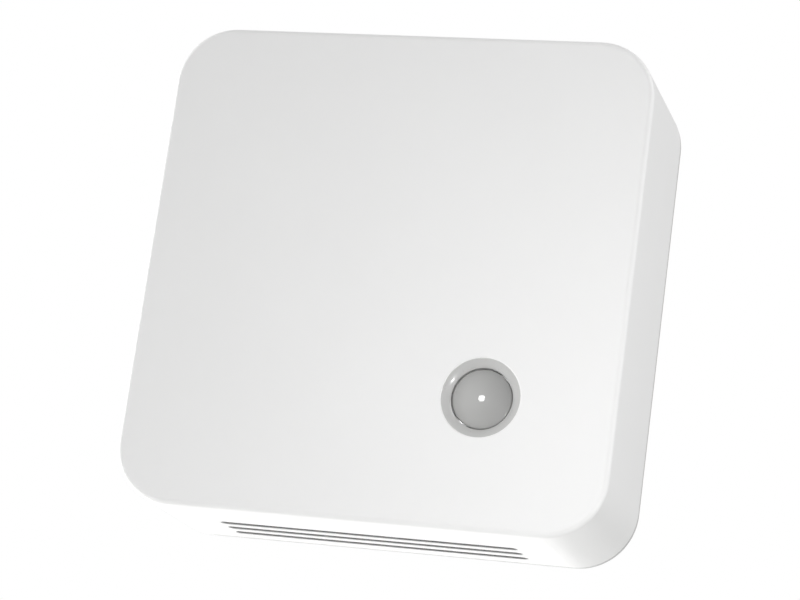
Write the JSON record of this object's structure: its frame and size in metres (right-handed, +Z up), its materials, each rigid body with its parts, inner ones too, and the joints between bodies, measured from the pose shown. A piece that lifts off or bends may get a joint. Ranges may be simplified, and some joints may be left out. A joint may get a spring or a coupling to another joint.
{
  "type": "wall-mounted room climate and motion sensor",
  "caption": "Square white battery-powered room sensor on a wall plate, with a recessed domed motion lens, vent slots in its underside and its electronics inside.",
  "frame": {"origin": "centre of the wall plate's rear face, which lies on the wall", "axes": "+Z up, +Y into the wall along the rear face's outward normal, so the front faces -Y; +X to the right as seen from the front"},
  "size_m": [0.086, 0.028, 0.086],
  "materials": {
    "cover_white": "fine moulded texture, satin",
    "plate_white": "moulded, matt",
    "filter_grey": "open-cell foam, matt",
    "ring_grey": "moulded, polished",
    "lens_grey": "milky polyethylene, satin",
    "can_steel": "nickel plated, satin",
    "window_dark": "coated silicon, glossy",
    "gold_plate": "plated, satin",
    "board_green": "solder mask over glass laminate",
    "module_blue": "solder mask over glass laminate",
    "screw_zinc": "zinc plated, satin",
    "tray_black": "moulded, matt",
    "contact_nickel": "nickel plated",
    "cell_nickel": "nickel plated, satin",
    "sleeve_green": "shrunk film, glossy",
    "shield_tin": "tin plated",
    "sensor_case_white": "moulded, satin",
    "membrane_white": "expanded film, matt",
    "chip_black": "moulded epoxy, matt",
    "capacitor_blue": "shrunk sleeve, glossy",
    "loop_copper": "bare copper, satin",
    "diode_clear": "clear epoxy",
    "passive_tan": "ceramic"
  },
  "bodies": {
    "wall_plate": {"wall_plate": "plate_white"},
    "sensor_unit": {"front_cover": "cover_white", "vent_filter": "filter_grey", "lens_ring": "ring_grey", "pir_lens": "lens_grey", "pir_can": "can_steel", "pir_window": "window_dark", "pir_leads": "gold_plate", "main_board": "board_green", "board_screws": "screw_zinc", "battery_tray": "tray_black", "contact_plates": "contact_nickel", "cell_spring_1": "contact_nickel", "cell_spring_2": "contact_nickel", "radio_board": "module_blue", "radio_shield": "shield_tin", "helical_antenna": "gold_plate", "gas_sensor_pins": "gold_plate", "gas_sensor_board": "board_green", "gas_sensor_case": "sensor_case_white", "gas_sensor_membrane": "membrane_white", "climate_sensor": "chip_black", "microcontroller": "chip_black", "crystal": "shield_tin", "reservoir_capacitor": "capacitor_blue", "reset_switch_case": "chip_black", "reset_switch_plate": "shield_tin", "nfc_loop": "loop_copper", "light_sensor": "diode_clear", "status_led": "diode_clear", "board_passives": "passive_tan"},
    "cell_1": {"cell_1_can": "cell_nickel", "cell_1_sleeve": "sleeve_green", "cell_1_terminal": "contact_nickel"},
    "cell_2": {"cell_2_can": "cell_nickel", "cell_2_sleeve": "sleeve_green", "cell_2_terminal": "contact_nickel"},
    "reset_button": {"reset_plunger": "tray_black"}
  },
  "joints": [
    {"name": "unit_pull_off", "type": "slide", "parent": "wall_plate", "child": "sensor_unit", "axis": [0, -1, 0], "range_m": [0, 0.06]},
    {"name": "cell_1_push", "type": "slide", "parent": "sensor_unit", "child": "cell_1", "axis": [-1, 0, 0], "range_m": [0, 0.0015], "stiffness_N_per_m": 700, "springref_m": -0.002, "deforming": ["cell_spring_1"]},
    {"name": "cell_2_push", "type": "slide", "parent": "sensor_unit", "child": "cell_2", "axis": [1, 0, 0], "range_m": [0, 0.0015], "stiffness_N_per_m": 700, "springref_m": -0.002, "deforming": ["cell_spring_2"]},
    {"name": "reset_press", "type": "slide", "parent": "sensor_unit", "child": "reset_button", "axis": [0, -1, 0], "range_m": [0, 0.00025], "stiffness_N_per_m": 4000, "springref_m": -0.0001}
  ]
}
